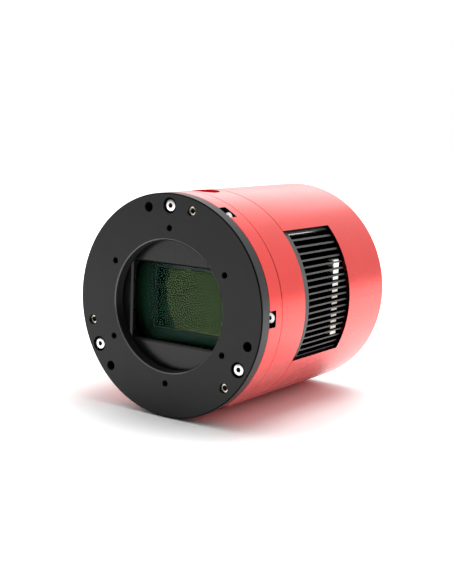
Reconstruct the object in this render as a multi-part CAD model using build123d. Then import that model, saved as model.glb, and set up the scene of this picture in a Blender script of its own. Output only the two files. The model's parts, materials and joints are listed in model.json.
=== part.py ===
from build123d import *
from math import cos, sin, radians, sqrt
import os

# Cooled astronomy camera, lying on its side.
# Origin: centre of the tilt plate's front face, on the optical axis.
# -Y looks out of the front, +Y runs to the rear cover, +Z is up, millimetres.
# Every turned piece is a profile of (radius, y) corners spun about the Y axis.

os.makedirs("parts", exist_ok=True)

# ---- driving dimensions -------------------------------------------------
body_r = 45.0                 # outer radius of plate, rings and shells
body_end_y = 97.7             # rear edge of the rear shell
seam_chamfer = 0.25           # edge break where two shells meet
seam_gap = 0.1                # shadow gap in front of the rear shell

plate_t = 5.0                 # tilt plate thickness
plate_gap = 0.2               # air gap that lets the plate tilt
thread_bore_r = 26.6          # M54 x 0.75 thread, minor radius
bore_chamfer, rim_chamfer, hole_break = 0.5, 0.5, 0.15

adjust_r = 40.1               # circle of the push, pull and spare holes
adjust_angle = 90.0           # first pull screw; the others follow every 120 degrees
adjust_step = 15.0            # push screws before it, spare holes after it
adapter_r = 31.2              # circle of the six M3 adapter holes
adapter_hole_r = 1.25

front_y = plate_t + plate_gap
seam_1_y = 14.1               # front ring to middle shell
seam_2_y = 31.3               # middle shell to rear shell
notch_end_y = 9.6
notch_half_w = 3.3
notch_screw_r = 42.3
notch_head_r, notch_head_h = 1.95, 2.2
notch_bore_y = 11.6           # floor of the counterbore in the notch's rear wall

mask_y, mask_t, mask_r = 5.4, 2.5, 32.8
mask_half_x, mask_half_z = 23.0, 16.6
mask_bevel = 0.7              # slope round the aperture's front edge
glass_r, glass_t = 30.0, 2.0
glass_y, gasket_t = 8.5, 0.8
slip = 0.1                    # radial room round parts dropped into their seats
past = 1.0                    # how far a cutting tool runs past a face

plug_y, plug_hole_r, plug_r = 22.7, 5.7, 5.6
middle_bore_r = 37.5

sensor_y = 17.5               # light-sensitive plane, the back focus
die_half_x, die_half_z = 18.4, 12.4
package_half_x, package_half_z = 22.6, 16.2

base_end_y = 37.0             # heat sink base plate behind the middle shell
fin_end_y = 72.0
fin_r = 43.3
fin_pitch, fin_t, fin_z0 = 2.6, 0.65, 0.72
fin_first, fin_last = -15, 14
tie_bar_in_x, tie_bar_out_x, tie_bar_r = 36.5, 39.9, 43.2
tie_bar_y, tie_bar_w = 61.2, 4.3
tie_bar_low, tie_bar_high = -14.4, 17.2

shell_bore_r = 43.6
window_end_y = 67.2
window_low_deg, window_high_deg = -27.8, 43.3
boss_r, boss_circle_r, boss_y = 3.6, 40.2, 82.0

cover_y, cover_end_y, cover_r = 95.0, 97.2, 43.4
fan_half, fan_t = 25.0, 15.0
fan_y = cover_y - fan_t
fan_duct_r = 23.8
fan_hole = 20.0
blade_count = 7

board_top_z, board_t = -26.0, 1.6
dc_z = 33.5
usb_b_half_x, usb_b_h = 6.0, 10.9
usb_a_half_x, usb_a_h, usb_a_x = 6.55, 5.7, 15.5
port_wall = 0.4

flex_half_x, flex_t, flex_pass_half = 8.0, 0.3, 9.4
flex_chamber_z, flex_fin_z = -35.9, -40.6   # height in the chamber, and under the fins
flex_step_y = 34.0                          # where it drops from one to the other


# ---- helpers ------------------------------------------------------------
def turned(*profile):
    """Solid of revolution about the optical axis from (radius, y) corners."""
    return revolve(make_face(Polyline(*profile, close=True)), Axis.Y)


def ring(r_out, r_in, y0, y1, c0=0.0, c1=0.0):
    """Ring from y0 to y1 with outer edge breaks c0 in front and c1 behind."""
    corners = [(r_in, y0), (r_out - c0, y0)]
    corners += [(r_out, y0 + c0)] if c0 else []
    corners += [(r_out, y1 - c1)]
    corners += [(r_out - c1, y1)] if c1 else []
    return turned(*corners, (r_in, y1))


def rod(radius, y0, y1, at=(0.0, 0.0)):
    """Cylinder along Y at (x, z)."""
    bar = Cylinder(radius, y1 - y0, align=(Align.CENTER, Align.CENTER, Align.MIN))
    return Pos(at[0], y0, at[1]) * Rot(-90, 0, 0) * bar


def upright(radius, z0, z1, x, y):
    """Cylinder along Z."""
    bar = Cylinder(radius, z1 - z0, align=(Align.CENTER, Align.CENTER, Align.MIN))
    return Pos(x, y, z0) * bar


def block(x0, x1, y0, y1, z0, z1):
    centre = Pos((x0 + x1) / 2, (y0 + y1) / 2, (z0 + z1) / 2)
    return centre * Box(x1 - x0, y1 - y0, z1 - z0)


def plate_block(half_x, half_z, y0, y1, corner=0.0):
    """Block centred on the optical axis, its four long edges rounded."""
    solid = block(-half_x, half_x, y0, y1, -half_z, half_z)
    return fillet(solid.edges().filter_by(Axis.Y), corner) if corner else solid


def polar(radius, degrees):
    return radius * cos(radians(degrees)), radius * sin(radians(degrees))


def spaced(count, start=0.0):
    return [start + 360.0 / count * i for i in range(count)]


def cone(r_front, r_rear, y0, y1, at):
    """Countersink along Y at (x, z)."""
    solid = turned((0, y0), (r_front, y0), (r_rear, y1), (0, y1))
    return Pos(at[0], 0, at[1]) * solid


def hex_socket(across_flats, y0, y1, at):
    """Hexagonal recess along Y."""
    face = RegularPolygon(across_flats / 2, 6, major_radius=False)
    prism = extrude(face, y1 - y0)
    return Pos(at[0], y0, at[1]) * Rot(-90, 0, 0) * prism


def cap_screw(at, seat_y, end_y, head_r, head_h, shank_r, across_flats, to_rear=1):
    """Socket cap screw; to_rear 1 points the shank to +Y, -1 to -Y."""
    head = Pos(at[0], 0, at[1]) * ring(head_r, 0, -head_h, 0, c0=0.25)
    head -= hex_socket(across_flats, -head_h, -head_h * 0.4, at)
    shank = rod(shank_r, 0, abs(end_y - seat_y), at)
    screw = head + shank
    if to_rear < 0:
        screw = mirror(screw, Plane.XZ)
    return Pos(0, seat_y, 0) * screw


def torus_ring(centre_r, wire_r, y):
    """Round-section seal ring about the optical axis."""
    return Pos(0, y, 0) * Rot(90, 0, 0) * Torus(centre_r, wire_r)


def save(name, *solids):
    """Write one node; several solids stay separate inside it."""
    shape = solids[0] if len(solids) == 1 else Compound(children=list(solids))
    export_step(shape, f"parts/{name}.step")


# ---- tilt plate and its screws ------------------------------------------
pull_angles = spaced(3, adjust_angle)
push_angles = spaced(3, adjust_angle - adjust_step)
spare_angles = spaced(3, adjust_angle + adjust_step)
pull_head_r, pull_bore_r, pull_bore_depth = 2.25, 3.15, 3.6
pull_shank_r, pull_clearance_r = 1.25, 1.55
push_r, push_hole_r, push_face_y = 1.95, 2.0, 1.2
push_tip_y = 4.95             # clears the front ring at full tilt
pull_head_h, pull_socket, pull_end_y = 2.9, 2.2, 12.2
push_socket, push_socket_y = 2.0, 2.9
head_float = 0.2


def tilt_plate():
    plate = turned(
        (thread_bore_r + bore_chamfer, 0), (body_r - rim_chamfer, 0), (body_r, rim_chamfer),
        (body_r, plate_t), (thread_bore_r, plate_t), (thread_bore_r, bore_chamfer),
    )
    for angle in pull_angles:
        at = polar(adjust_r, angle)
        plate -= rod(pull_bore_r, -past, pull_bore_depth, at)
        plate -= rod(pull_clearance_r, 0, plate_t + past, at)
    for angle in push_angles + spare_angles:
        plate -= rod(push_hole_r, -past, plate_t + past, polar(adjust_r, angle))
    for angle in spaced(6, 30):
        at = polar(adapter_r, angle)
        plate -= rod(adapter_hole_r, -past, plate_t + past, at)
        plate -= cone(adapter_hole_r + hole_break, adapter_hole_r, 0, hole_break, at)
    return plate


def pull_screw(angle):
    """Screw in the front ring; its head floats above the counterbore's floor."""
    seat_y = pull_bore_depth - head_float
    at = polar(adjust_r, angle)
    return cap_screw(at, seat_y, pull_end_y, pull_head_r, pull_head_h, pull_shank_r, pull_socket)


def push_screw(angle):
    """Set screw carried by the plate, its tip just short of the front ring."""
    at = polar(adjust_r, angle)
    return rod(push_r, push_face_y, push_tip_y, at) - hex_socket(push_socket, push_face_y, push_socket_y, at)


seal_in_r, seal_out_r, seal_y0, seal_y1 = 35.3, 36.7, 5.12, 6.25
seal_room, seal_floor = 0.12, 0.15

save("tilt_plate", tilt_plate())
save("tilt_pull_screws", *[pull_screw(a) for a in pull_angles])
save("tilt_push_screws", *[push_screw(a) for a in push_angles])
save("tilt_seal", ring(seal_out_r, seal_in_r, seal_y0, seal_y1))


# ---- front ring, window and mask ----------------------------------------
notch_angles = spaced(6)
standoff_angles = spaced(4, 45)
mask_screw_angles = spaced(4, 45)
glass_lip_r = 27.5
gasket_in_r, gasket_out_r = 27.8, 29.2
heater_in_r, heater_out_r = 28.5, 29.9
mask_screw_circle = 30.9
mask_screw_r, mask_hole_r, mask_head_r, mask_sink_r = 0.8, 0.9, 1.65, 1.7
mask_screw_end_y = 12.0
notch_shank_r, notch_hole_r, notch_tap_r = 1.25, 1.35, 1.3
notch_socket, notch_end_screw_y, notch_tap_y = 2.0, 21.0, 21.5


def notch(angle):
    """Round-bottomed pocket open to the rim, with a counterbore for one cap screw."""
    start_y = front_y - past
    pocket = rod(notch_half_w, start_y, notch_end_y, (notch_screw_r, 0))
    pocket += block(notch_screw_r, body_r + past, start_y, notch_end_y, -notch_half_w, notch_half_w)
    pocket += rod(notch_head_r + slip, notch_end_y - past, notch_bore_y, (notch_screw_r, 0))
    return Rot(0, -angle, 0) * pocket


def front_ring():
    seat_y = mask_y + mask_t
    lip_y = glass_y + glass_t + gasket_t
    body = turned(
        (mask_r + slip, front_y), (body_r - seam_chamfer, front_y), (body_r, front_y + seam_chamfer),
        (body_r, seam_1_y - seam_chamfer), (body_r - seam_chamfer, seam_1_y), (glass_lip_r, seam_1_y),
        (glass_lip_r, lip_y), (glass_r + slip, lip_y), (glass_r + slip, seat_y), (mask_r + slip, seat_y),
    )
    for angle in notch_angles:
        body -= notch(angle)
        body -= rod(notch_hole_r, notch_end_y - past, seam_1_y + past, polar(notch_screw_r, angle))
    for angle in pull_angles:
        body -= rod(pull_shank_r + slip / 2, front_y - past, pull_end_y + 2 * slip, polar(adjust_r, angle))
    for angle in mask_screw_angles:
        body -= rod(mask_screw_r, seat_y - past, seam_1_y - past, polar(mask_screw_circle, angle))
    return body - ring(seal_out_r + seal_room, seal_in_r - seal_room, front_y - past, seal_y1 + seal_floor)


def chamber_mask():
    """Black baffle with the oblong aperture in front of the window glass."""
    plate = rod(mask_r, mask_y, mask_y + mask_t)
    aperture_x, aperture_z = mask_half_x - mask_bevel, mask_half_z - mask_bevel
    plate -= plate_block(aperture_x, aperture_z, mask_y - past, mask_y + mask_t + past, 0.8)
    mouth = Plane.XZ.offset(-mask_y) * Rectangle(2 * mask_half_x, 2 * mask_half_z)
    plate -= extrude(mouth, -mask_bevel, taper=45)
    for angle in mask_screw_angles:
        at = polar(mask_screw_circle, angle)
        plate -= rod(mask_hole_r, mask_y - past, mask_y + mask_t + past, at)
        plate -= cone(mask_sink_r, mask_hole_r, mask_y, mask_y + mask_sink_r - mask_hole_r, at)
    return plate


def mask_screw(angle):
    at = polar(mask_screw_circle, angle)
    slope = mask_head_r - mask_screw_r
    head = cone(mask_head_r, mask_screw_r, mask_y + 0.02, mask_y + slope, at)
    return head + rod(mask_screw_r, mask_y + slope - 0.05, mask_screw_end_y, at) - block_slot(at)


def block_slot(at):
    """Screwdriver slot across a small countersunk head."""
    return Pos(at[0], mask_y, at[1]) * Box(4, 0.7, 0.4)


save("front_ring", front_ring())
save("front_ring_screws", *[
    cap_screw(
        polar(notch_screw_r, a), notch_bore_y, notch_end_screw_y, notch_head_r, notch_head_h,
        notch_shank_r, notch_socket,
    )
    for a in notch_angles
])
save("chamber_mask", chamber_mask())
save("mask_screws", *[mask_screw(a) for a in mask_screw_angles])
save("window_glass", ring(glass_r, 0, glass_y, glass_y + glass_t, 0.2, 0.2))
save("window_seal", ring(gasket_out_r, gasket_in_r, glass_y + glass_t, glass_y + glass_t + gasket_t))
save("window_heater", ring(heater_out_r, heater_in_r, glass_y - 0.3, glass_y - 0.05))


# ---- middle shell and desiccant plug ------------------------------------
base_screw_circle = 40.4
base_screw_angles = (65, 115, 245, 295)
plug_top_z, plug_seat_z, plug_low_z = 43.9, 41.6, 38.3
plug_head_r, plug_recess_r, plug_seat_deep = 6.0, 6.3, 0.9
plug_cup_r, plug_cup_z = 4.6, 42.3
coin_slot_half, coin_slot_w, coin_slot_z = 4.2, 1.5, 42.9
o_ring_r, o_ring_wire, o_ring_z = 5.95, 0.3, 41.15
tablet_r, tablet_z = 4.4, 38.7
front_groove_out, front_groove_in, front_groove_deep = 39.9, 38.3, 1.1
rear_groove_out, rear_groove_in, rear_groove_deep = 39.0, 37.0, 1.1
base_tap_r, base_tap_y = 1.3, 23.0
case_angles = spaced(4, 45)


def middle_shell():
    shell = ring(body_r, middle_bore_r, seam_1_y, seam_2_y, seam_chamfer, seam_chamfer)
    shell -= ring(front_groove_out, front_groove_in, seam_1_y - past, seam_1_y + front_groove_deep)
    shell -= ring(rear_groove_out, rear_groove_in, seam_2_y - rear_groove_deep, seam_2_y + past)
    shell -= upright(plug_hole_r, middle_bore_r / 2, body_r + past, 0, plug_y)
    shell -= upright(plug_recess_r, plug_seat_z - plug_seat_deep, body_r + past, 0, plug_y)
    for angle in notch_angles:
        shell -= rod(notch_tap_r, seam_1_y - past, notch_tap_y, polar(notch_screw_r, angle))
    for angle in base_screw_angles:
        shell -= rod(base_tap_r, base_tap_y, seam_2_y + past, polar(base_screw_circle, angle))
    return shell


def desiccant_plug():
    """Threaded cup; the coin slot in its head turns it out of the shell."""
    plug = upright(plug_r, plug_low_z, plug_seat_z, 0, plug_y)
    plug += upright(plug_head_r, plug_seat_z, plug_top_z, 0, plug_y)
    plug -= upright(plug_cup_r, plug_low_z - past, plug_cup_z, 0, plug_y)
    low_y, high_y = plug_y - coin_slot_w / 2, plug_y + coin_slot_w / 2
    return plug - block(-coin_slot_half, coin_slot_half, low_y, high_y, coin_slot_z, plug_top_z + past)


def plug_o_ring():
    return Pos(0, plug_y, o_ring_z) * Torus(o_ring_r, o_ring_wire)


save("middle_shell", middle_shell())
save("middle_seal", torus_ring((front_groove_out + front_groove_in) / 2, front_groove_deep / 2,
                               seam_1_y + front_groove_deep / 2))
save("desiccant_plug", desiccant_plug())
save("plug_o_ring", plug_o_ring())
save("desiccant_tablet", upright(tablet_r, tablet_z, plug_cup_z, 0, plug_y))


# ---- sensor, its board and the cooler -----------------------------------
package_y, package_end_y = 16.9, 20.5
package_well_x, package_well_z, die_t = 20.0, 13.0, 0.7
cover_glass_half_x, cover_glass_half_z, cover_glass_t = 21.0, 13.4, 0.7
board_r, board_end_y = 33.0, package_end_y + board_t
board_window_x, board_window_z = 15.0, 11.0
standoff_circle, standoff_r, standoff_thread_r, standoff_end_y = 30.4, 2.2, 1.0, 23.4
chip_circle, chip_half, chip_t = 23.0, 3.0, 1.0
finger_half_x, finger_half_z = 14.5, 10.5
cold_end_y, mid_y, hot_y = 24.6, 27.3, 30.5
ceramic_t, ceramic_cold_half, ceramic_hot_half = 0.8, 15.0, 20.0
pellet_half = 1.4
pad_y, pad_window_half, pad_room = 23.8, 20.6, 0.3


def sensor_package():
    package = plate_block(package_half_x, package_half_z, package_y, package_end_y, 1.0)
    return package - plate_block(package_well_x, package_well_z, package_y - past, sensor_y + die_t, 0.4)


def sensor_board():
    start_y, stop_y = package_end_y - past, board_end_y + past
    board = rod(board_r, package_end_y, board_end_y)
    board -= plate_block(board_window_x, board_window_z, start_y, stop_y, 1.0)
    for angle in standoff_angles:
        board -= rod(standoff_thread_r + slip, start_y, stop_y, polar(standoff_circle, angle))
    return board


def standoff(angle):
    """Post between the front ring's rear face and the sensor board, with its screw's thread."""
    at = polar(standoff_circle, angle)
    post = rod(standoff_r, seam_1_y, package_end_y, at)
    return post + rod(standoff_thread_r, package_end_y, standoff_end_y, at)


def pellet_grid(count, pitch, y0, y1):
    """Square grid of semiconductor posts between two ceramics."""
    offset = (count - 1) / 2
    places = [((i - offset) * pitch, (j - offset) * pitch) for i in range(count) for j in range(count)]
    half = pellet_half
    return [block(x - half, x + half, y0, y1, z - half, z + half) for x, z in places]


def insulation_pad():
    start_y, stop_y = pad_y - past, seam_2_y + past
    pad = ring(middle_bore_r - pad_room, 0, pad_y, seam_2_y - slip)
    pad -= block(-flex_pass_half, flex_pass_half, start_y, stop_y, -body_r, flex_chamber_z + 0.6)
    return pad - plate_block(pad_window_half, pad_window_half, start_y, stop_y, 1.0)


save("sensor_package", sensor_package())
save("sensor_die", plate_block(die_half_x, die_half_z, sensor_y, sensor_y + die_t))
save("sensor_cover_glass", plate_block(
    cover_glass_half_x, cover_glass_half_z, package_y - cover_glass_t, package_y, 0.3,
))
save("sensor_board", sensor_board())
save("sensor_standoffs", *[standoff(a) for a in standoff_angles])
save("sensor_board_chips", *[
    block(x - chip_half, x + chip_half, board_end_y, board_end_y + chip_t, z - chip_half, z + chip_half)
    for x, z in (polar(chip_circle, a) for a in spaced(8, 22.5))
])
save("cold_finger", plate_block(finger_half_x, finger_half_z, package_end_y, cold_end_y, 1.0))
save(
    "cooler_ceramics",
    *[
        plate_block(half, half, y, y + ceramic_t)
        for half, y in ((ceramic_cold_half, cold_end_y), (ceramic_hot_half, mid_y), (ceramic_hot_half, hot_y))
    ],
)
save(
    "cooler_pellets",
    *pellet_grid(4, 6.6, cold_end_y + ceramic_t, mid_y),
    *pellet_grid(5, 7.4, mid_y + ceramic_t, hot_y),
)
save("insulation_pad", insulation_pad())


# ---- heat sink ----------------------------------------------------------
fin_root = 0.5                # how far the fins reach into the base plate
base_edge, base_seat = 0.3, 0.6
base_screw_hole_r, base_pocket_r = 1.4, 3.0
base_screw_end_y, base_screw_head_r, base_screw_head_h = 23.6, 2.7, 2.6
base_screw_shank_r, base_screw_socket = 1.25, 2.0
case_tap_r, case_clearance_r, case_tap_y = 1.55, 2.1, seam_2_y + 1.5
flex_room = 0.3
sink_seal_r, sink_seal_wire = 38.3, 0.5


def fin(index):
    """One horizontal fin, cut to the round outline of the base plate."""
    z = fin_z0 + fin_pitch * index
    half_x = sqrt(fin_r ** 2 - z ** 2) + 1
    return block(-half_x, half_x, base_end_y - fin_root, fin_end_y, z - fin_t / 2, z + fin_t / 2)


def tie_bar(side):
    """Bright bar let into the fins' edges, locking their spacing."""
    low_x, high_x = sorted((side * tie_bar_in_x, side * tie_bar_out_x))
    bar = block(low_x, high_x, tie_bar_y, tie_bar_y + tie_bar_w, tie_bar_low, tie_bar_high)
    return bar & rod(tie_bar_r, tie_bar_y - past, tie_bar_y + tie_bar_w + past)


def heat_sink():
    fins = Part() + [fin(i) for i in range(fin_first, fin_last + 1)]
    fins &= rod(fin_r, base_end_y - fin_root, fin_end_y)
    sink = ring(fin_r, 0, seam_2_y, base_end_y, 0.0, base_edge) + fins
    for angle in base_screw_angles:
        at = polar(base_screw_circle, angle)
        sink -= rod(base_screw_hole_r, seam_2_y - past, base_end_y + past, at)
        sink -= rod(base_pocket_r, base_end_y - base_seat, fin_end_y + past, at)
    for angle in case_angles:
        at = polar(boss_circle_r, angle)
        sink -= rod(case_tap_r, case_tap_y, base_end_y + past, at)
        sink -= rod(case_clearance_r, base_end_y, fin_end_y + past, at)
    for side in (-1, 1):
        sink -= tie_bar(side)
    half, high, stop_y = flex_half_x + flex_room, flex_chamber_z + 0.5, base_end_y + past
    sink -= block(-half, half, seam_2_y - past, stop_y, flex_chamber_z - 0.5, high)
    return sink - block(-half, half, flex_step_y - flex_room, stop_y, flex_fin_z - 0.5, high)


save("heat_sink", heat_sink())
save("heat_sink_seal", torus_ring(sink_seal_r, sink_seal_wire, seam_2_y - sink_seal_wire))
save("heat_sink_screws", *[
    cap_screw(
        polar(base_screw_circle, a), base_end_y - base_seat, base_screw_end_y, base_screw_head_r,
        base_screw_head_h, base_screw_shank_r, base_screw_socket, to_rear=-1,
    )
    for a in base_screw_angles
])
save("fin_tie_bars", tie_bar(1), tie_bar(-1))


# ---- rear shell and rear cover ------------------------------------------
port_clear = 0.25
grille_rings = ((12, 8.0, 14.6), (24, 16.4, 23.4))
grille_slot_w = 2.2
case_head_r, fan_head_r = 2.75, 2.75
head_sink, head_room = 1.5, 0.2
cover_head_h, cover_shank_r, cover_socket = 1.4, 1.5, 2.0
cover_hole_r = 1.65
rear_edge, cover_edge, boss_root = 0.6, 0.3, 0.5
dc_hole_r = 5.1
case_screw_end_y, fan_screw_end_y = seam_2_y + 1.7, fan_y + 3


def window_wedge(low_deg, high_deg):
    """Sector of the shell's wall between two angles, open at its front edge."""
    reach = body_r * 2
    corners = [polar(reach, low_deg), polar(reach, (low_deg + high_deg) / 2), polar(reach, high_deg)]
    outline = Polyline((0, 0), *corners, close=True)
    wedge = extrude(make_face(outline), window_end_y - seam_2_y + 1)
    return Pos(0, seam_2_y - 1, 0) * Rot(-90, 0, 0) * mirror(wedge, Plane.XZ)


def rear_shell():
    front = seam_2_y + seam_gap
    shell = turned(
        (shell_bore_r, front), (body_r - seam_chamfer, front), (body_r, front + seam_chamfer),
        (body_r, body_end_y - rear_edge), (body_r - rear_edge, body_end_y), (shell_bore_r, body_end_y),
    )
    shell -= window_wedge(window_low_deg, window_high_deg)
    shell -= window_wedge(180 - window_high_deg, 180 - window_low_deg)
    for angle in case_angles:
        at = polar(boss_circle_r, angle)
        boss = rod(boss_r, boss_y, cover_y, at) & rod(shell_bore_r + boss_root, boss_y, cover_y)
        shell += boss - rod(cover_hole_r, boss_y - past, cover_y + past, at)
    return shell


def grille_slot(angle, r_in, r_out):
    """Radial slot with round ends."""
    start_y, stop_y = cover_y - past, cover_end_y + past
    slot = block(r_in, r_out, start_y, stop_y, -grille_slot_w / 2, grille_slot_w / 2)
    slot += rod(grille_slot_w / 2, start_y, stop_y, (r_in, 0))
    slot += rod(grille_slot_w / 2, start_y, stop_y, (r_out, 0))
    return Rot(0, -angle, 0) * slot


def rear_cover():
    start_y, stop_y = cover_y - past, cover_end_y + past
    cover = ring(cover_r, 0, cover_y, cover_end_y, 0.0, cover_edge)
    for count, r_in, r_out in grille_rings:
        for angle in spaced(count):
            cover -= grille_slot(angle, r_in, r_out)
    head_floor = cover_end_y - head_sink
    for angle in case_angles:
        at = polar(boss_circle_r, angle)
        cover -= rod(cover_hole_r, start_y, stop_y, at)
        cover -= rod(case_head_r + head_room, head_floor, stop_y, at)
    for x in (-fan_hole, fan_hole):
        for z in (-fan_hole, fan_hole):
            cover -= rod(cover_hole_r, start_y, stop_y, (x, z))
            cover -= rod(fan_head_r + head_room, head_floor, stop_y, (x, z))
    top = board_top_z - board_t + port_clear
    half = usb_b_half_x + port_clear
    cover -= block(-half, half, start_y, stop_y, top - usb_b_h - 2 * port_clear, top)
    for x in (-usb_a_x, usb_a_x):
        low_x, high_x = x - usb_a_half_x - port_clear, x + usb_a_half_x + port_clear
        cover -= block(low_x, high_x, start_y, stop_y, top - usb_a_h - 2 * port_clear, top)
    return cover - rod(dc_hole_r, start_y, stop_y, (0, dc_z))


def cover_screw(at, end_y):
    seat_y = cover_end_y - head_sink
    return cap_screw(at, seat_y, end_y, case_head_r, cover_head_h, cover_shank_r, cover_socket, to_rear=-1)


save("rear_shell", rear_shell())
save("rear_cover", rear_cover())
save("case_screws", *[cover_screw(polar(boss_circle_r, a), case_screw_end_y) for a in case_angles])
save("fan_screws", *[
    cover_screw((x, z), fan_screw_end_y) for x in (-fan_hole, fan_hole) for z in (-fan_hole, fan_hole)
])


# ---- fan ----------------------------------------------------------------
hub_r, hub_front_y, hub_end_y = 12.5, fan_y + 0.9, fan_y + 11.6
motor_plate_y = fan_y + 12.2
shaft_r = 1.0
tube_r, bearing_r = 3.6, 3.0
blade_root_r, blade_tip_r = 12.2, 23.1
blade_y = (hub_front_y + hub_end_y) / 2
blade_t = 1.1
blade_sections = ((blade_root_r, 12.0, 48.0), (blade_tip_r, 15.5, 30.0))   # radius, chord, pitch in degrees
hub_bore_r, hub_face_t = 11.3, 1.5
magnet_in_r, magnet_front, magnet_rear = 10.1, 2.2, 0.4
frame_hole_r, frame_corner, strut_in_x, strut_half_w = 1.9, 3.0, 10.0, 1.2
motor_plate_r, motor_plate_end_y, tube_y = 11.6, cover_y - 0.3, fan_y + 3.2
bearing_t, bearing_clearance = 2.3, 0.04
bearing_1_y, bearing_2_y = fan_y + 3.4, fan_y + 9.2
core_r, core_y0, core_y1 = 6.2, fan_y + 5.2, fan_y + 10.4
arm_in_x, arm_out_x, arm_half_w = 5.5, 8.6, 1.4
shoe_out_r, shoe_in_r, shoe_half_w = 9.6, 8.4, 5.0


def fan_frame():
    frame = plate_block(fan_half, fan_half, fan_y, cover_y, frame_corner)
    frame -= rod(fan_duct_r, fan_y - past, cover_y + past)
    for x in (-fan_hole, fan_hole):
        for z in (-fan_hole, fan_hole):
            frame -= rod(frame_hole_r, fan_y - past, cover_y + past, (x, z))
    strut = block(
        strut_in_x, fan_duct_r + 0.6, motor_plate_y + 0.4, motor_plate_end_y, -strut_half_w, strut_half_w,
    )
    for angle in spaced(4, 45):
        frame += Rot(0, -angle, 0) * strut
    frame += rod(motor_plate_r, motor_plate_y, motor_plate_end_y)
    return frame + ring(tube_r, bearing_r, tube_y, motor_plate_y)


def blade(angle):
    """One blade, its pitch flattening from root to tip."""
    sections = []
    for radius, chord, pitch in blade_sections:
        plane = Plane(origin=(radius, blade_y, 0), x_dir=(0, 0, 1), z_dir=(1, 0, 0))
        sections.append(plane * Rot(0, 0, -pitch) * SlotOverall(chord, blade_t))
    return Rot(0, -angle, 0) * (loft(sections) & rod(blade_tip_r, fan_y, cover_y))


def fan_rotor():
    inner_y = hub_front_y + hub_face_t
    hub = ring(hub_r, hub_bore_r, inner_y - 0.1, hub_end_y)
    hub += ring(hub_r, shaft_r, hub_front_y, inner_y, 0.6)
    hub += ring(2.2, shaft_r, inner_y - 0.1, inner_y + 0.5)
    for angle in spaced(blade_count):
        hub += blade(angle) - rod(blade_root_r - 0.3, fan_y - 5, cover_y + 5)
    return hub


def bearing(y0):
    return ring(bearing_r, shaft_r + bearing_clearance, y0, y0 + bearing_t)


def fan_stator():
    core = ring(core_r, tube_r, core_y0, core_y1)
    arm = block(arm_in_x, arm_out_x, core_y0, core_y1, -arm_half_w, arm_half_w)
    shoe = ring(shoe_out_r, shoe_in_r, core_y0, core_y1)
    shoe &= block(0, hub_r, fan_y, cover_y, -shoe_half_w, shoe_half_w)
    for angle in spaced(4, 45):
        core += Rot(0, -angle, 0) * (arm + shoe)
    return core


save("fan_frame", fan_frame())
save("fan_rotor", fan_rotor())
save("fan_magnet", ring(hub_bore_r, magnet_in_r, hub_front_y + magnet_front, hub_end_y - magnet_rear))
save("fan_shaft", rod(shaft_r, hub_front_y + 0.2, motor_plate_y - 0.4))
save("fan_bearings", bearing(bearing_1_y), bearing(bearing_2_y))
save("fan_stator", fan_stator())


# ---- main board, ports and flex cable -----------------------------------
port_end_y = cover_end_y + 0.3
board_y, board_half_x = 76.0, 24.0
jack_body_r, jack_depth, jack_mouth_r, jack_bore_r, jack_bore_depth = 6.0, 12.0, 5.0, 2.85, 8.0
jack_pin_r, jack_pin_inset = 1.05, 1.5
chip_in_x, chip_out_x, chip_front_y, chip_rear_y, big_chip_t = 12.0, 22.5, 77.5, 80.8, 1.2
connector_half_x, connector_h = 9.0, 1.5
usb_b_depth, usb_a_depth = 16.5, 13.9


def port_shell(x, half_x, height, depth):
    """Folded metal box of a socket, open to the rear."""
    top = board_top_z - board_t
    outer = block(x - half_x, x + half_x, port_end_y - depth, port_end_y, top - height, top)
    inner = block(
        x - half_x + port_wall, x + half_x - port_wall, port_end_y - depth + 1.0, port_end_y + 1,
        top - height + port_wall, top - port_wall,
    )
    return outer - inner


def usb_a_tongue(x):
    """Contact carrier, fixed to the back of its socket and the upper wall's side."""
    top = board_top_z - board_t - port_wall
    carrier = block(x - 5.6, x + 5.6, port_end_y - 12.6, port_end_y - 10.2, top - 4.6, top)
    return carrier + block(x - 5.5, x + 5.5, port_end_y - 10.4, port_end_y - 1.2, top - 1.9, top - 0.1)


def usb_b_tongue():
    mid_z = board_top_z - board_t - usb_b_h / 2
    carrier = block(-5.3, 5.3, port_end_y - 15.2, port_end_y - 12.0, mid_z - 4.8, mid_z + 4.8)
    return carrier + block(-2.8, 2.8, port_end_y - 12.2, port_end_y - 5.0, mid_z - 1.6, mid_z + 1.6)


def dc_jack():
    """Round panel socket with its flange behind the cover."""
    at = (0, dc_z)
    body = rod(jack_body_r, cover_y - jack_depth, cover_y, at) + rod(jack_mouth_r, cover_y - past, port_end_y, at)
    return body - rod(jack_bore_r, cover_y - jack_bore_depth, port_end_y + past, at)


def flex_cable():
    """Flat cable: down the chamber, through the base, under the fins, up to the main board."""
    half_t = flex_t / 2
    top_z = board_top_z - board_t - 1.5
    spans = (
        (board_end_y, board_end_y + flex_t, flex_chamber_z - half_t, -27.0),
        (board_end_y, flex_step_y + flex_t, flex_chamber_z - half_t, flex_chamber_z + half_t),
        (flex_step_y, flex_step_y + flex_t, flex_fin_z - half_t, flex_chamber_z),
        (flex_step_y, board_y + 3, flex_fin_z - half_t, flex_fin_z + half_t),
        (board_y + 3 - flex_t, board_y + 3, flex_fin_z, top_z),
    )
    strips = [block(-flex_half_x, flex_half_x, y0, y1, z0, z1) for y0, y1, z0, z1 in spans]
    return Part() + strips


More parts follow.
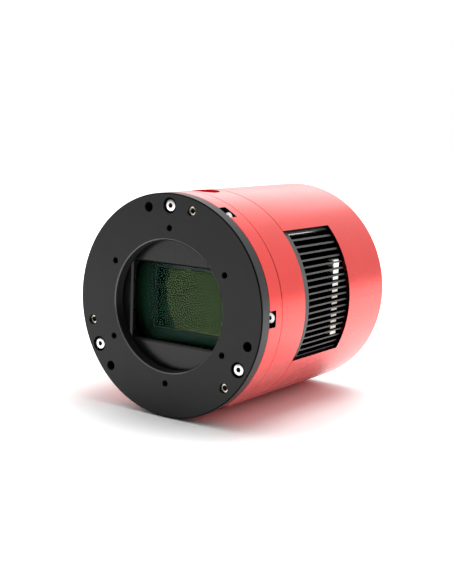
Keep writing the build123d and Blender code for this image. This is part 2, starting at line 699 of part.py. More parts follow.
under_z = board_top_z - board_t
save("main_board", block(-board_half_x, board_half_x, board_y, cover_y - 0.3, under_z, board_top_z))
save(
    "main_board_chips",
    block(-chip_out_x, -chip_in_x, chip_front_y, chip_rear_y, under_z - big_chip_t, under_z),
    block(chip_in_x, chip_out_x, chip_front_y, chip_rear_y, under_z - big_chip_t, under_z),
)
save("usb_b_port", port_shell(0, usb_b_half_x, usb_b_h, usb_b_depth))
save("usb_b_tongue", usb_b_tongue())
save("usb_a_ports", *[port_shell(x, usb_a_half_x, usb_a_h, usb_a_depth) for x in (-usb_a_x, usb_a_x)])
save("usb_a_tongues", *[usb_a_tongue(x) for x in (-usb_a_x, usb_a_x)])
save("dc_jack", dc_jack())
save("dc_jack_pin", rod(jack_pin_r, cover_y - jack_bore_depth, port_end_y - jack_pin_inset, (0, dc_z)))
save("flex_cable", flex_cable())
save(
    "flex_connectors",
    block(-connector_half_x, connector_half_x, board_end_y + flex_t, board_end_y + 1.6, -31.0, -27.2),
    block(-connector_half_x, connector_half_x, board_y + 0.8, board_y + 4.4, under_z - connector_h, under_z),
)
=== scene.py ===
import json
import math
import bmesh
import bpy
from mathutils import Matrix, Vector

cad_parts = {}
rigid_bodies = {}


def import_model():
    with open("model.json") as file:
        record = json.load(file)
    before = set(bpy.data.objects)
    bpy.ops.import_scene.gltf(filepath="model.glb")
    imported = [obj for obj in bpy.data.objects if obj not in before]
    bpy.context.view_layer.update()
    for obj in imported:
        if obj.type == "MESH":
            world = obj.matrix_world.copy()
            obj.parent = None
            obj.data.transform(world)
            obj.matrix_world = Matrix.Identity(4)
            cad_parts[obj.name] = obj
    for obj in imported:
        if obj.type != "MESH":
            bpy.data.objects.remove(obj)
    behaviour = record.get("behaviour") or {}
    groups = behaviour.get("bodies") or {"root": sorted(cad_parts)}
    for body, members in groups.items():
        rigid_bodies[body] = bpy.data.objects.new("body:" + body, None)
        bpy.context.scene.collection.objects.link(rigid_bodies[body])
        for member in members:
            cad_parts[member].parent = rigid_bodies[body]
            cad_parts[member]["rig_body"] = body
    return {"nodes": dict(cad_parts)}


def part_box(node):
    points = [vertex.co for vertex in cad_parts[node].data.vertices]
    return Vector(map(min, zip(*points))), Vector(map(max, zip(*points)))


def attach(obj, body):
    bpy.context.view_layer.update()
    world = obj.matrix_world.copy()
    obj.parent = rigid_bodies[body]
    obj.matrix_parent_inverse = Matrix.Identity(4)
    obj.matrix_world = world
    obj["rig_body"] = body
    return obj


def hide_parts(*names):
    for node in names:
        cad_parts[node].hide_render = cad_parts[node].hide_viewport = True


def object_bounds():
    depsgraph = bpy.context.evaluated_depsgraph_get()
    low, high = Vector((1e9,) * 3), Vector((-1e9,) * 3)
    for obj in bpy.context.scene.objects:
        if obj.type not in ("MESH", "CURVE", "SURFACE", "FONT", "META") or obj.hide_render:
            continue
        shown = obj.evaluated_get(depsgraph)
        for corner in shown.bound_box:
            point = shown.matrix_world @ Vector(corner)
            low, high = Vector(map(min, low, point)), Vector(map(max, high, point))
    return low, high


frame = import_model()
cad_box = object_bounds()
nodes = frame["nodes"]

# Cooled astronomy camera on its side. Metres; -Y is the front, +Z is up.
MM = 0.001
FLOOR_Z = cad_box[0][2]


# ---- camera -------------------------------------------------------------
CAMERA_AT = Vector((0.2710, -0.3525, 0.0801))
CAMERA_AZIMUTH, CAMERA_ELEVATION, CAMERA_ROLL = 34.575, 9.382, 2.054
CAMERA_LENS, SENSOR_WIDTH = 70.39, 36.0


def add_camera():
    azimuth, elevation = math.radians(CAMERA_AZIMUTH), math.radians(CAMERA_ELEVATION)
    forward = Vector((-math.sin(azimuth) * math.cos(elevation),
                      math.cos(azimuth) * math.cos(elevation),
                      -math.sin(elevation)))
    level = forward.to_track_quat("-Z", "Y").to_matrix().to_4x4()
    data = bpy.data.cameras.new("camera")
    data.lens = CAMERA_LENS
    data.sensor_width = SENSOR_WIDTH
    data.clip_start = 0.01
    camera = bpy.data.objects.new("camera", data)
    roll = Matrix.Rotation(math.radians(CAMERA_ROLL), 4, "Z")
    camera.matrix_world = Matrix.Translation(CAMERA_AT) @ level @ roll
    bpy.context.scene.collection.objects.link(camera)
    bpy.context.scene.camera = camera


# ---- materials ----------------------------------------------------------
class Nodes:
    """Short names for building one material's node tree."""

    def __init__(self, name):
        self.material = bpy.data.materials.new(name)
        self.material.use_nodes = True
        self.tree = self.material.node_tree
        self.shader = self.tree.nodes["Principled BSDF"]
        self.place = self.add("ShaderNodeTexCoord").outputs["Object"]

    def add(self, kind, **settings):
        node = self.tree.nodes.new(kind)
        for key, value in settings.items():
            setattr(node, key, value)
        return node

    def link(self, source, target):
        self.tree.links.new(source, target)

    def noise(self, scale, detail=3.0):
        node = self.add("ShaderNodeTexNoise")
        node.inputs["Scale"].default_value = scale
        node.inputs["Detail"].default_value = detail
        self.link(self.place, node.inputs["Vector"])
        return node.outputs["Fac"]

    def radius(self):
        """Distance from the optical axis."""
        flat = self.add("ShaderNodeMapping")
        flat.inputs["Scale"].default_value = (1, 0, 1)
        length = self.add("ShaderNodeVectorMath", operation="LENGTH")
        self.link(self.place, flat.inputs["Vector"])
        self.link(flat.outputs["Vector"], length.inputs[0])
        return length.outputs["Value"]

    def math(self, operation, *values):
        node = self.add("ShaderNodeMath", operation=operation)
        for socket, value in zip(node.inputs, values):
            if isinstance(value, (int, float)):
                socket.default_value = value
            else:
                self.link(value, socket)
        return node.outputs["Value"]

    def ramp(self, source, *stops):
        """Colour ramp from (position, colour) stops."""
        node = self.add("ShaderNodeValToRGB")
        elements = node.color_ramp.elements
        while len(elements) < len(stops):
            elements.new(0.5)
        for element, (position, colour) in zip(elements, stops):
            element.position = position
            element.color = (*colour, 1.0)
        self.link(source, node.inputs["Fac"])
        return node.outputs["Color"]

    def mix(self, factor, first, second):
        """Blend of two colours by a 0 to 1 factor."""
        node = self.add("ShaderNodeMix", data_type="RGBA")
        self.link(factor, node.inputs["Factor"])
        for socket, colour in (("A", first), ("B", second)):
            target = [i for i in node.inputs if i.name == socket and i.type == "RGBA"][0]
            if isinstance(colour, tuple):
                target.default_value = (*colour, 1.0)
            else:
                self.link(colour, target)
        return [o for o in node.outputs if o.type == "RGBA"][0]

    def step(self, source, start, end):
        """0 below start, 1 above end, smooth between."""
        node = self.add("ShaderNodeMapRange", interpolation_type="SMOOTHSTEP")
        node.inputs["From Min"].default_value = start
        node.inputs["From Max"].default_value = end
        self.link(source, node.inputs["Value"])
        return node.outputs["Result"]

    def range(self, source, low, high):
        node = self.add("ShaderNodeMapRange")
        node.inputs["To Min"].default_value = low
        node.inputs["To Max"].default_value = high
        self.link(source, node.inputs["Value"])
        return node.outputs["Result"]

    def bump(self, height, strength, distance):
        node = self.add("ShaderNodeBump")
        node.inputs["Strength"].default_value = strength
        node.inputs["Distance"].default_value = distance
        self.link(height, node.inputs["Height"])
        self.link(node.outputs["Normal"], self.shader.inputs["Normal"])

    def set(self, **values):
        for name, value in values.items():
            self.shader.inputs[name.replace("_", " ")].default_value = value


def scaled(colour, factor):
    return tuple(channel * factor for channel in colour)


def grained(name, colour, roughness, metallic=0.0, spread=0.12, grain=2500.0, depth=0.01,
            rough_spread=0.06, **fixed):
    """Surface with cloudy colour, uneven gloss and a fine moulded or blasted grain."""
    n = Nodes(name)
    cloud = n.noise(90.0, detail=4.0)
    n.link(n.ramp(cloud, (0.3, scaled(colour, 1 - spread)), (0.7, scaled(colour, 1 + spread))),
           n.shader.inputs["Base Color"])
    fine = n.noise(grain, detail=2.0)
    n.link(n.range(cloud, roughness - rough_spread, roughness + rough_spread),
           n.shader.inputs["Roughness"])
    n.bump(fine, 0.25, depth * MM)
    n.set(Metallic=metallic, **fixed)
    return n.material


def anodised_plate(name):
    """Satin black face; its narrow edge chamfers are mirror cut, the inner one painted paler as a painted
    highlight line and the outer one with its reflection turned almost off as painted shade, and the bore is
    left dull.
    """
    bore_r, inner_cut_r, face_r = 26.58 * MM, 26.64 * MM, 27.07 * MM
    outer_cut_r, rim_r = 44.5 * MM, 44.9 * MM
    n = Nodes(name)
    radius = n.radius()
    cloud = n.noise(70.0, detail=4.0)
    face = n.ramp(cloud, (0.3, (0.0035, 0.0035, 0.004)), (0.7, (0.006, 0.006, 0.0065)))
    bore = n.math("SUBTRACT", 1.0, n.step(radius, bore_r, bore_r + 0.1 * MM))
    rim = n.step(radius, rim_r, rim_r + 0.04 * MM)
    past_cut = n.step(radius, outer_cut_r, outer_cut_r + 0.03 * MM)
    outer_cut_shade = n.math("MULTIPLY", past_cut, n.math("SUBTRACT", 1.0, rim))
    before_face = n.math("SUBTRACT", 1.0, n.step(radius, face_r, face_r + 0.03 * MM))
    inner_cut_highlight = n.math("MULTIPLY", n.step(radius, inner_cut_r, inner_cut_r + 0.04 * MM), before_face)
    # painted highlight: the inner chamfer's base colour is raised to a pale grey
    n.link(n.mix(inner_cut_highlight, face, (0.1, 0.1, 0.105)), n.shader.inputs["Base Color"])
    cut = n.math("ADD", outer_cut_shade, inner_cut_highlight)
    gloss = n.math("ADD", 0.38, n.math("MULTIPLY", n.noise(35.0), 0.06))
    n.link(n.math("SUBTRACT", gloss, n.math("MULTIPLY", cut, 0.3)), n.shader.inputs["Roughness"])
    level = n.math("ADD", 0.3, n.math("MULTIPLY", rim, 0.18))
    # painted shade: the outer chamfer's reflection is turned almost off, so it reads as a dark line
    level = n.math("SUBTRACT", level, n.math("MULTIPLY", outer_cut_shade, 0.28))
    n.link(n.math("MULTIPLY", level, n.math("SUBTRACT", 1.0, bore)), n.shader.inputs["Specular IOR Level"])
    n.bump(n.noise(4000.0, detail=2.0), 0.12, 0.004 * MM)
    return n.material


def lathe_turned(name, colour, roughness, metallic, pitch=0.12, depth=0.004, spread=0.1, **fixed):
    """Turned face: faint rings about the optical axis under a fine blasted grain."""
    n = Nodes(name)
    cloud = n.noise(70.0, detail=4.0)
    n.link(n.ramp(cloud, (0.3, scaled(colour, 1 - spread)), (0.7, scaled(colour, 1 + spread))),
           n.shader.inputs["Base Color"])
    rings = n.math("SINE", n.math("MULTIPLY", n.radius(), 2 * math.pi / (pitch * MM)))
    grain = n.noise(4000.0, detail=2.0)
    height = n.math("ADD", n.math("MULTIPLY", rings, 0.35), grain)
    n.link(n.range(cloud, roughness - 0.04, roughness + 0.05), n.shader.inputs["Roughness"])
    n.bump(height, 0.2, depth * MM)
    n.set(Metallic=metallic, **fixed)
    return n.material


def circuit_board(name):
    """Solder mask over traces: a grid of slightly raised, lighter lines."""
    n = Nodes(name)
    brick = n.add("ShaderNodeTexBrick")
    brick.inputs["Scale"].default_value = 420.0
    brick.inputs["Mortar Size"].default_value = 0.06
    brick.inputs["Color1"].default_value = (0.006, 0.035, 0.016, 1)
    brick.inputs["Color2"].default_value = (0.008, 0.045, 0.02, 1)
    brick.inputs["Mortar"].default_value = (0.02, 0.09, 0.045, 1)
    n.link(n.place, brick.inputs["Vector"])
    n.link(brick.outputs["Color"], n.shader.inputs["Base Color"])
    n.link(n.range(n.noise(300.0), 0.3, 0.5), n.shader.inputs["Roughness"])
    n.bump(brick.outputs["Fac"], 0.3, 0.03 * MM)
    return n.material


OXIDE = 0.6                     # weight of the clear skin over the red dye


def anodised_shell(name, colour, roughness, shade_r, clear=None):
    """Dyed metal under a clear oxide layer; inside the given radius the cut faces of pockets, seams and
    openings are painted near-black, without the clear layer, as painted shade.

    `clear` is (y, half width) of a band left free of the painted shade.
    """
    n = Nodes(name)
    cloud = n.noise(60.0, detail=4.0)
    face = n.ramp(cloud, (0.3, scaled(colour, 0.97)), (0.7, scaled(colour, 1.03)))
    unshaded = n.step(n.radius(), shade_r, shade_r + 0.12 * MM)
    if clear:
        along = n.add("ShaderNodeSeparateXYZ")
        n.link(n.place, along.inputs["Vector"])
        away = n.math("ABSOLUTE", n.math("SUBTRACT", along.outputs["Y"], clear[0]))
        band = n.math("SUBTRACT", 1.0, n.step(away, clear[1], clear[1] + 0.05 * MM))
        unshaded = n.math("MAXIMUM", unshaded, band)
    # painted shade: inside the radius the base colour drops to 3 % and the clear coat is switched off
    n.link(n.mix(unshaded, scaled(colour, 0.03), face), n.shader.inputs["Base Color"])
    n.link(n.range(cloud, roughness - 0.03, roughness + 0.04), n.shader.inputs["Roughness"])
    n.link(n.math("MULTIPLY", unshaded, OXIDE), n.shader.inputs["Coat Weight"])
    n.bump(n.noise(3800.0, detail=2.0), 0.2, 0.01 * MM)
    n.set(Metallic=0.97, Coat_Roughness=0.24, Coat_IOR=1.5)
    return n.material


def extruded_fins(name):
    """Between the fins near-black with no reflection, as painted shade; their cut outer edges are a paler
    grey.
    """
    edge_start, edge_end = 43.05 * MM, 43.2 * MM
    n = Nodes(name)
    cloud = n.noise(120.0, detail=4.0)
    edge = n.step(n.radius(), edge_start, edge_end)
    cut_edge_grey = n.ramp(cloud, (0.3, (0.05, 0.05, 0.05)), (0.7, (0.075, 0.075, 0.075)))
    # painted shade: inside the edge radius the base colour is near-black and the reflection is switched off
    n.link(n.mix(edge, (0.002, 0.002, 0.002), cut_edge_grey), n.shader.inputs["Base Color"])
    n.link(n.range(n.noise(400.0), 0.5, 0.62), n.shader.inputs["Roughness"])
    n.link(n.math("MULTIPLY", edge, 0.5), n.shader.inputs["Specular IOR Level"])
    n.bump(n.noise(2600.0, detail=2.0), 0.25, 0.02 * MM)
    return n.material


def satin_glowing_bar(name):
    """Satin bar let into the fins: its outer face glows as painted light, the glow whiter towards the top as
    a painted sheen.
    """
    outer_start, outer_end = 39.78 * MM, 39.86 * MM
    cream_z, white_z = -2.0 * MM, 9.0 * MM
    n = Nodes(name)
    along = n.add("ShaderNodeSeparateXYZ")
    n.link(n.place, along.inputs["Vector"])
    outer = n.step(n.math("ABSOLUTE", along.outputs["X"]), outer_start, outer_end)
    # painted sheen: the glow is cream low down and white towards the top
    high = n.step(along.outputs["Z"], cream_z, white_z)
    glow_tone = n.mix(high, (0.72, 0.66, 0.56), (1.0, 1.0, 0.98))
    cloud = n.noise(260.0, detail=3.0)
    n.link(n.ramp(cloud, (0.3, (0.78, 0.75, 0.68)), (0.7, (0.88, 0.85, 0.8))), n.shader.inputs["Base Color"])
    n.link(n.range(cloud, 0.4, 0.5), n.shader.inputs["Roughness"])
    # painted light: only the outer face glows, standing in for the light that reaches it
    n.link(glow_tone, n.shader.inputs["Emission Color"])
    n.link(n.math("MULTIPLY", outer, 0.75), n.shader.inputs["Emission Strength"])
    n.bump(n.noise(1800.0, detail=2.0), 0.2, 0.01 * MM)
    n.set(Metallic=0.35)
    return n.material


def coated_glass(name, reflect, opacity, level):
    """Clear pane: the thin opaque share carries the coating's faint coloured reflection."""
    n = Nodes(name)
    cloud = n.noise(12.0, detail=1.0)
    n.link(n.ramp(cloud, (0.2, (0.001, 0.002, 0.0015)), (0.8, (0.0015, 0.003, 0.002))),
           n.shader.inputs["Base Color"])
    n.link(n.range(cloud, 0.004, 0.008), n.shader.inputs["Roughness"])
    n.set(Alpha=opacity, IOR=1.5, Specular_Tint=(*reflect, 1.0), Specular_IOR_Level=level)
    return n.material


def silicon(name):
    """Sensor die: near-black silicon under olive colour filters, smooth enough to mirror softly."""
    n = Nodes(name)
    cloud = n.noise(45.0, detail=1.0)
    n.link(n.ramp(cloud, (0.25, (0.002, 0.0035, 0.003)), (0.75, (0.004, 0.005, 0.003))),
           n.shader.inputs["Base Color"])
    n.link(n.range(cloud, 0.05, 0.08), n.shader.inputs["Roughness"])
    n.set(Specular_IOR_Level=0.45, Specular_Tint=(0.85, 1.0, 0.3, 1.0))
    return n.material


RED = (0.84, 0.04, 0.032)
# the shells' cut faces inside this radius get painted shade
SHELL_SHADE_R = 44.8 * MM
PLUG_BAND = (22.7 * MM, 8.25 * MM)      # y and half width of the band round the plug, left free of the painted shade

MATERIALS = {
    "plate_black": anodised_plate("plate_black"),
    "mask_black": grained("mask_black", (0.005, 0.005, 0.0055), 0.28, spread=0.2, grain=3500.0, depth=0.004,
                          Specular_IOR_Level=0.34),
    "cover_black": grained("cover_black", (0.014, 0.014, 0.015), 0.42, spread=0.2, grain=3000.0, depth=0.02),
    "ring_red": anodised_shell("ring_red", RED, 0.27, SHELL_SHADE_R),
    "shell_red": anodised_shell("shell_red", RED, 0.27, SHELL_SHADE_R, PLUG_BAND),
    "vented_red": anodised_shell("vented_red", RED, 0.27, SHELL_SHADE_R),
    "plug_red": lathe_turned("plug_red", (0.55, 0.012, 0.012), 0.38, 0.0),
    "fin_black": extruded_fins("fin_black"),
    "thread_black": grained("thread_black", (0.006, 0.006, 0.006), 0.3, spread=0.2, Specular_IOR_Level=0.08),
    # painted shade: the insides of the hexagon sockets are painted dark
    "socket_painted_shade": grained("socket_painted_shade", (0.06, 0.05, 0.045), 0.3, spread=0.3, Specular_IOR_Level=0.25),
    "bare_aluminium": grained("bare_aluminium", (0.85, 0.84, 0.82), 0.32, metallic=0.9, spread=0.05),
    "steel": grained("steel", (0.92, 0.91, 0.88), 0.3, metallic=1.0, spread=0.08, grain=1800.0),
    "dull_steel": grained("dull_steel", (0.85, 0.76, 0.64), 0.3, metallic=1.0, spread=0.25, grain=1800.0),
    # painted light: the pocket screw heads glow white, standing in for the light that reaches them through
    # the pockets
    "button_steel_glow": grained("button_steel_glow", (0.95, 0.95, 0.94), 0.4, metallic=0.15, spread=0.04,
                            Emission_Color=(1.0, 1.0, 1.0, 1.0), Emission_Strength=0.55),
    "nickel": grained("nickel", (0.75, 0.74, 0.71), 0.18, metallic=1.0, spread=0.06),
    "rubber": grained("rubber", (0.012, 0.012, 0.012), 0.6, spread=0.2, grain=1500.0, depth=0.04),
    "foam": grained("foam", (0.02, 0.02, 0.02), 0.85, spread=0.4, grain=900.0, depth=0.2),
    "amber_film": grained("amber_film", (0.42, 0.17, 0.03), 0.25, spread=0.15),
    "tablet": grained("tablet", (0.8, 0.8, 0.77), 0.8, spread=0.05, grain=1200.0, depth=0.06),
    "package": grained("package", (0.012, 0.014, 0.014), 0.35, spread=0.15),
    "ceramic": grained("ceramic", (0.82, 0.82, 0.8), 0.45, spread=0.04),
    "cream_nylon": grained("cream_nylon", (0.8, 0.76, 0.68), 0.4, spread=0.06),
    "bar_satin_glow": satin_glowing_bar("bar_satin_glow"),
    "chip": grained("chip", (0.015, 0.015, 0.016), 0.5, spread=0.2),
    "fan_plastic": grained("fan_plastic", (0.016, 0.016, 0.017), 0.38, spread=0.15, grain=1600.0, depth=0.02),
    "ferrite": grained("ferrite", (0.05, 0.05, 0.052), 0.6, spread=0.2),
    "copper": grained("copper", (0.75, 0.32, 0.12), 0.3, metallic=0.9, spread=0.12),
    "port_blue": grained("port_blue", (0.02, 0.12, 0.5), 0.35, spread=0.08),
    "gold": grained("gold", (0.95, 0.68, 0.25), 0.25, metallic=1.0, spread=0.08),
    "board": circuit_board("board"),
    "window_glass": coated_glass("window_glass", (0.15, 1.0, 0.64), 0.12, 0.5),
    "sensor_glass": coated_glass("sensor_glass", (0.8, 1.0, 0.4), 0.06, 0.5),
    "silicon": silicon("silicon"),
}

FINISH = {
    "plate_black": ["tilt_plate"],
    "mask_black": ["chamber_mask"],
    "cover_black": ["rear_cover"],
    "ring_red": ["front_ring"],
    "shell_red": ["middle_shell"],
    "vented_red": ["rear_shell"],
    "plug_red": ["desiccant_plug"],
    "fin_black": ["heat_sink"],
    "bare_aluminium": ["sensor_standoffs", "cold_finger"],
    "cream_nylon": ["flex_connectors"],
    "bar_satin_glow": ["fin_tie_bars"],
    "steel": ["tilt_pull_screws", "front_ring_screws", "mask_screws", "heat_sink_screws", "case_screws",
              "fan_screws", "fan_shaft"],
    "dull_steel": ["tilt_push_screws"],
    "nickel": ["usb_b_port", "usb_a_ports", "dc_jack_pin", "fan_bearings"],
    "rubber": ["tilt_seal", "window_seal", "middle_seal", "plug_o_ring", "heat_sink_seal"],
    "foam": ["insulation_pad"],
    "amber_film": ["window_heater", "flex_cable"],
    "tablet": ["desiccant_tablet"],
    "package": ["sensor_package"],
    "ceramic": ["cooler_ceramics"],
    "ferrite": ["fan_magnet"],
    "chip": ["sensor_board_chips", "main_board_chips"],
    "fan_plastic": ["fan_frame", "fan_rotor", "dc_jack"],
    "copper": ["fan_stator", "cooler_pellets"],
    "port_blue": ["usb_b_tongue", "usb_a_tongues"],
    "board": ["sensor_board", "main_board"],
    "window_glass": ["window_glass"],
    "sensor_glass": ["sensor_cover_glass"],
    "silicon": ["sensor_die"],
}


def finish_cad_nodes():
    for material, names in FINISH.items():
        for name in names:
            nodes[name].data.materials.clear()
            nodes[name].data.materials.append(MATERIALS[material])


# ---- mesh helpers -------------------------------------------------------
def mesh_object(name, bm, *materials, smooth_degrees=30.0):
    bmesh.ops.recalc_face_normals(bm, faces=bm.faces)
    for face in bm.faces:
        face.smooth = True
    for edge in bm.edges:
        if len(edge.link_faces) == 2 and edge.calc_face_angle() > math.radians(smooth_degrees):
            edge.smooth = False
    data = bpy.data.meshes.new(name)
    bm.to_mesh(data)
    bm.free()
    for material in materials:
        data.materials.append(MATERIALS[material])
    thing = bpy.data.objects.new(name, data)
    bpy.context.scene.collection.objects.link(thing)
    return thing


def spun(bm, rings, count, centre=(0.0, 0.0), dark=0):
    """Closed body of rings about Y; a ring is (radius or radius(angle), y).

    The first end and the first `dark` bands take the object's second material, which for the screws is the
    painted shade of their sockets.
    """
    loops = []
    for radius, y in rings:
        loop = []
        for i in range(count):
            angle = 2 * math.pi * i / count
            r = radius(angle) if callable(radius) else radius
            loop.append(bm.verts.new((centre[0] + r * math.cos(angle), y, centre[1] + r * math.sin(angle))))
        loops.append(loop)
    for band, (a, b) in enumerate(zip(loops, loops[1:])):
        for i in range(count):
            j = (i + 1) % count
            face = bm.faces.new((a[i], a[j], b[j], b[i]))
            face.material_index = int(band < dark)
    bm.faces.new(loops[0]).material_index = int(dark > 0)
    bm.faces.new(loops[-1])


def hexagon(across_flats):
    """Radius of a hexagon as a function of angle."""
    def radius(angle):
        turn = (math.degrees(angle) % 60.0) - 30.0
        return across_flats / 2 / math.cos(math.radians(turn))
    return radius


def knurled(base, depth, teeth):
    """Radius of a knurled side as a function of angle."""
    def radius(angle):
        return base - depth * abs(math.sin(angle * teeth / 2))
    return radius


def polar(radius, degrees):
    return radius * math.cos(math.radians(degrees)), radius * math.sin(math.radians(degrees))


# ---- screws -------------------------------------------------------------
POCKET_R = 42.3 * MM            # circle of the screws in the front ring's pockets
ADJUST_R = 40.1 * MM            # circle of the plate's push and pull screws
CASE_SCREW_R = 40.2 * MM
FAN_HOLE = 20 * MM              # half the spacing of the fan's screws
COVER_SCREW = {
    "head_h": 1.4 * MM, "head_r": 2.75 * MM, "shank_r": 1.5 * MM, "across_flats": 2.0 * MM,
    "teeth": 0, "to_rear": False,
}


def cap_screw(bm, at, face_y, seat_y, end_y, head_r, shank_r, across_flats, teeth=0):
    """Cap screw along Y at (x, z): knurled head, hexagon socket, plain shank."""
    way = 1.0 if end_y > seat_y else -1.0
    head_h = abs(seat_y - face_y)
    side = knurled(head_r, 0.05 * MM, teeth) if teeth else head_r
    edge = 0.3 * MM
    socket = hexagon(across_flats)
    rings = [
        (0.25 * shank_r, face_y + way * head_h * 0.66), (socket, face_y + way * head_h * 0.58),
        (socket, face_y + way * 0.1 * MM), (lambda a: socket(a) + 0.08 * MM, face_y),
        (head_r - edge, face_y), (head_r - 0.25 * edge, face_y + way * 0.3 * edge),
        (head_r, face_y + way * edge), (side, face_y + way * 1.15 * edge),
        (side, seat_y - way * 0.12 * MM), (head_r - 0.1 * MM, seat_y),
        (shank_r, seat_y), (shank_r, end_y - way * 0.3 * MM), (shank_r - 0.3 * MM, end_y),
    ]
    spun(bm, rings, 96, at, dark=3)


def set_screw(bm, at, face_y, end_y, radius, across_flats):
    """Headless screw with a chamfered rim and a hexagon socket."""
    socket = hexagon(across_flats)
    rings = [
        (0.4 * MM, face_y + 2.0 * MM), (socket, face_y + 1.7 * MM), (socket, face_y + 0.1 * MM),
        (lambda a: socket(a) + 0.08 * MM, face_y), (radius - 0.25 * MM, face_y),
        (radius, face_y + 0.25 * MM), (radius, end_y - 0.4 * MM), (radius - 0.4 * MM, end_y),
    ]
    spun(bm, rings, 72, at, dark=3)


def crisp_screws(name, node, places, head_h, head_r, shank_r, across_flats, teeth, to_rear=True):
    """Detailed cap screws in the place of one CAD node's plain ones."""
    low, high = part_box(node)
    face_y, end_y = (low.y, high.y) if to_rear else (high.y, low.y)
    seat_y = face_y + head_h if to_rear else face_y - head_h
    bm = bmesh.new()
    for at in places:
        cap_screw(bm, at, face_y, seat_y, end_y, head_r, shank_r, across_flats, teeth)
    settle(mesh_object(name, bm, "steel", "socket_painted_shade"), node)


def settle(screws, node):
    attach(screws, nodes[node]["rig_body"])
    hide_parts(node)


def add_ring_screws():
    """Low domed heads at the bottom of the front ring's pockets."""
    low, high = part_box("front_ring_screws")
    head_r, shank_r, socket = 1.95 * MM, 1.25 * MM, hexagon(1.5 * MM)
    bm = bmesh.new()
    for i in range(6):
        rings = [
            (0.4 * MM, low.y + 1.3 * MM), (socket, low.y + 1.2 * MM), (socket, low.y + 0.06 * MM),
            (lambda a: socket(a) + 0.06 * MM, low.y), (1.2 * MM, low.y + 0.05 * MM),
            (1.55 * MM, low.y + 0.22 * MM), (1.82 * MM, low.y + 0.5 * MM), (head_r, low.y + 0.9 * MM),
            (head_r, low.y + 2.2 * MM), (shank_r, low.y + 2.2 * MM),
            (shank_r, high.y - 0.3 * MM), (shank_r - 0.3 * MM, high.y),
        ]
        spun(bm, rings, 72, polar(POCKET_R, 60 * i), dark=3)
    # painted light: the heads glow; painted shade: their sockets are dark
    settle(mesh_object("ring_cap_screws", bm, "button_steel_glow", "socket_painted_shade"), "front_ring_screws")


def add_pull_screws():
    places = [polar(ADJUST_R, angle) for angle in (90, 210, 330)]
    crisp_screws("pull_cap_screws", "tilt_pull_screws", places, head_h=2.9 * MM, head_r=2.25 * MM,
                 shank_r=1.25 * MM, across_flats=1.8 * MM, teeth=44)


def add_push_screws():
    low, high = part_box("tilt_push_screws")
    bm = bmesh.new()
    for angle in (75, 195, 315):
        set_screw(bm, polar(ADJUST_R, angle), low.y, high.y, radius=1.93 * MM, across_flats=2.0 * MM)
    settle(mesh_object("push_set_screws", bm, "dull_steel", "socket_painted_shade"), "tilt_push_screws")


def add_case_screws():
    places = [polar(CASE_SCREW_R, angle) for angle in (45, 135, 225, 315)]
    crisp_screws("case_cap_screws", "case_screws", places, **COVER_SCREW)


def add_fan_screws():
    places = [(x, z) for x in (-FAN_HOLE, FAN_HOLE) for z in (-FAN_HOLE, FAN_HOLE)]
    crisp_screws("fan_cap_screws", "fan_screws", places, **COVER_SCREW)


# ---- front thread -------------------------------------------------------
def add_front_thread():
    """M54 x 0.75 helix cut in the plate's bore, drawn as a ridge standing in from its wall."""
    pitch, depth, steps = 0.75 * MM, 0.32 * MM, 180
    wall = 26.62 * MM
    low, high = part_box("tilt_plate")
    start, end = low.y + 0.75 * MM, high.y - 0.25 * MM
    turns = (end - start) / pitch
    profile = ((0.0, -0.30), (-depth, -0.06), (-depth, 0.06), (0.0, 0.30))
    bm = bmesh.new()
    previous = None
    total = int(turns * steps)
    for i in range(total + 1):
        angle = 2 * math.pi * i / steps
        fade = min(1.0, i / 20, (total - i) / 20)
        y = start + pitch * i / steps
        loop = []
        for inward, along in profile:
            r = wall + inward * fade
            loop.append(bm.verts.new((r * math.cos(angle), min(y + along * MM, end), r * math.sin(angle))))
        if previous:
            for a in range(3):
                bm.faces.new((previous[a], previous[a + 1], loop[a + 1], loop[a]))
        previous = loop
    thread = mesh_object("front_thread_ridge", bm, "thread_black")
    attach(thread, nodes["tilt_plate"]["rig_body"])


# ---- bond wires on the sensor -------------------------------------------
def add_bond_wires():
    """Gold wires from the die's long edges to the package's pads."""
    die_low, die_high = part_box("sensor_die")
    bm = bmesh.new()
    half_wire, count = 0.05 * MM, 90
    lift, top = 0.02 * MM, 0.25 * MM
    for side in (-1, 1):
        inner = side * (die_high.z - 0.25 * MM)
        outer = side * (die_high.z + 0.45 * MM)
        middle = (inner + outer) / 2
        path = ((inner, die_low.y - lift), (middle, die_low.y - top), (outer, die_high.y))
        for i in range(count):
            x = die_low.x + (die_high.x - die_low.x) * (i + 0.5) / count
            for ends in zip(path, path[1:]):
                corners = [bm.verts.new((x + sx * half_wire, y, z)) for z, y in ends for sx in (-1, 1)]
                bm.faces.new((corners[0], corners[1], corners[3], corners[2]))
    wires = mesh_object("bond_wires", bm, "gold")
    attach(wires, nodes["sensor_die"]["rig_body"])


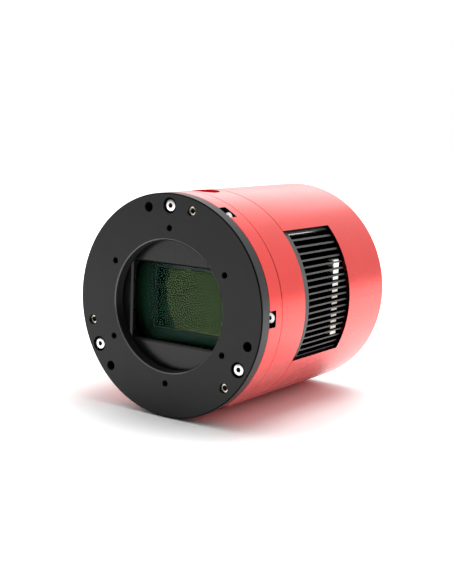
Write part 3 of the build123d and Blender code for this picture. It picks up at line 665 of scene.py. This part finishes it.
# ---- stage and light ----------------------------------------------------
def add_stage():
    """Pale seamless floor that gives off light: none within 5 cm of the body's middle, all from 12 cm."""
    glow_start, glow_end, glow = 0.05, 0.12, 0.75
    bm = bmesh.new()
    half, floor_z = 3.0, FLOOR_Z - 0.2 * MM
    corners = ((-half, -half), (half, -half), (half, half), (-half, half))
    bm.faces.new([bm.verts.new((x, y, floor_z)) for x, y in corners])
    data = bpy.data.meshes.new("floor")
    bm.to_mesh(data)
    bm.free()
    middle = (0.0, 0.04, FLOOR_Z)
    n = Nodes("floor_white")
    n.link(n.ramp(n.noise(3.0), (0.3, (0.95, 0.95, 0.95)), (0.7, (0.97, 0.97, 0.97))),
           n.shader.inputs["Base Color"])
    away = n.add("ShaderNodeVectorMath", operation="DISTANCE")
    away.inputs[1].default_value = middle
    n.link(n.place, away.inputs[0])
    n.link(n.math("MULTIPLY", n.step(away.outputs["Value"], glow_start, glow_end), glow),
           n.shader.inputs["Emission Strength"])
    n.set(Roughness=0.6, Specular_IOR_Level=0.2, Emission_Color=(1.0, 1.0, 1.0, 1.0))
    data.materials.append(n.material)
    floor = bpy.data.objects.new("floor", data)
    bpy.context.scene.collection.objects.link(floor)


def add_area(name, location, target, size, power):
    data = bpy.data.lights.new(name, "AREA")
    data.shape = "RECTANGLE"
    data.size, data.size_y = size
    data.energy = power
    light = bpy.data.objects.new(name, data)
    light.location = location
    light.rotation_euler = (Vector(target) - Vector(location)).to_track_quat("-Z", "Y").to_euler()
    bpy.context.scene.collection.objects.link(light)


DARK_SIDE = Vector((0.72, -0.68, 0.02)).normalized()    # front right, where the room is nearly dark
BRIGHT_SIDE = Vector((0.0, 0.5, 0.87)).normalized()
LOW_REAR = Vector((0.05, 1.0, -0.05)).normalized()      # level behind, where the backdrop is dimmed
ROOM = 1.05                     # brightness of the white backdrop and ceiling
DIM_FRONT = 0.16                # brightness of the room in front and at the sides


def studio_world():
    """White ceiling and backdrop over a dimmer room; seen directly the backdrop is plain white."""
    world = bpy.data.worlds.new("studio")
    world.use_nodes = True
    tree = world.node_tree
    background = tree.nodes["Background"]
    direction = tree.nodes.new("ShaderNodeTexCoord").outputs["Generated"]

    def lobe(axis, start, end, low, high):
        toward = tree.nodes.new("ShaderNodeVectorMath")
        toward.operation = "DOT_PRODUCT"
        toward.inputs[1].default_value = axis
        tree.links.new(direction, toward.inputs[0])
        node = tree.nodes.new("ShaderNodeMapRange")
        node.interpolation_type = "SMOOTHSTEP"
        for socket, value in (("From Min", start), ("From Max", end), ("To Min", low), ("To Max", high)):
            node.inputs[socket].default_value = value
        tree.links.new(toward.outputs["Value"], node.inputs["Value"])
        return node.outputs["Result"]

    def combine(operation, first, second):
        node = tree.nodes.new("ShaderNodeMath")
        node.operation = operation
        tree.links.new(first, node.inputs[0])
        tree.links.new(second, node.inputs[1])
        return node.outputs["Value"]

    bright = lobe(BRIGHT_SIDE, 0.0, 0.55, DIM_FRONT, ROOM)
    dark = lobe(DARK_SIDE, 0.72, 0.93, 1.0, 0.1)
    low = lobe(LOW_REAR, 0.86, 0.95, 1.0, 0.55)
    room = combine("MULTIPLY", combine("MULTIPLY", bright, dark), low)
    direct = tree.nodes.new("ShaderNodeLightPath").outputs["Is Camera Ray"]
    tree.links.new(combine("MAXIMUM", direct, room), background.inputs["Strength"])
    background.inputs["Color"].default_value = (1.0, 1.0, 1.0, 1.0)
    bpy.context.scene.world = world


def add_light():
    studio_world()
    bpy.context.scene.view_settings.view_transform = "Standard"
    middle = (0.0, 0.05, 0.0)
    add_area("top_softbox", (0.1, 0.12, 0.75), middle, (0.45, 0.45), 3.6)
    add_area("left_softbox", (-0.8, -0.3, 0.45), middle, (0.5, 0.6), 0.45)
    add_area("rear_softbox", (-0.45, 1.0, 0.5), middle, (0.8, 0.4), 0.8)


add_camera()
finish_cad_nodes()
add_ring_screws()
add_pull_screws()
add_push_screws()
add_case_screws()
add_fan_screws()
add_front_thread()
add_bond_wires()
add_stage()
add_light()
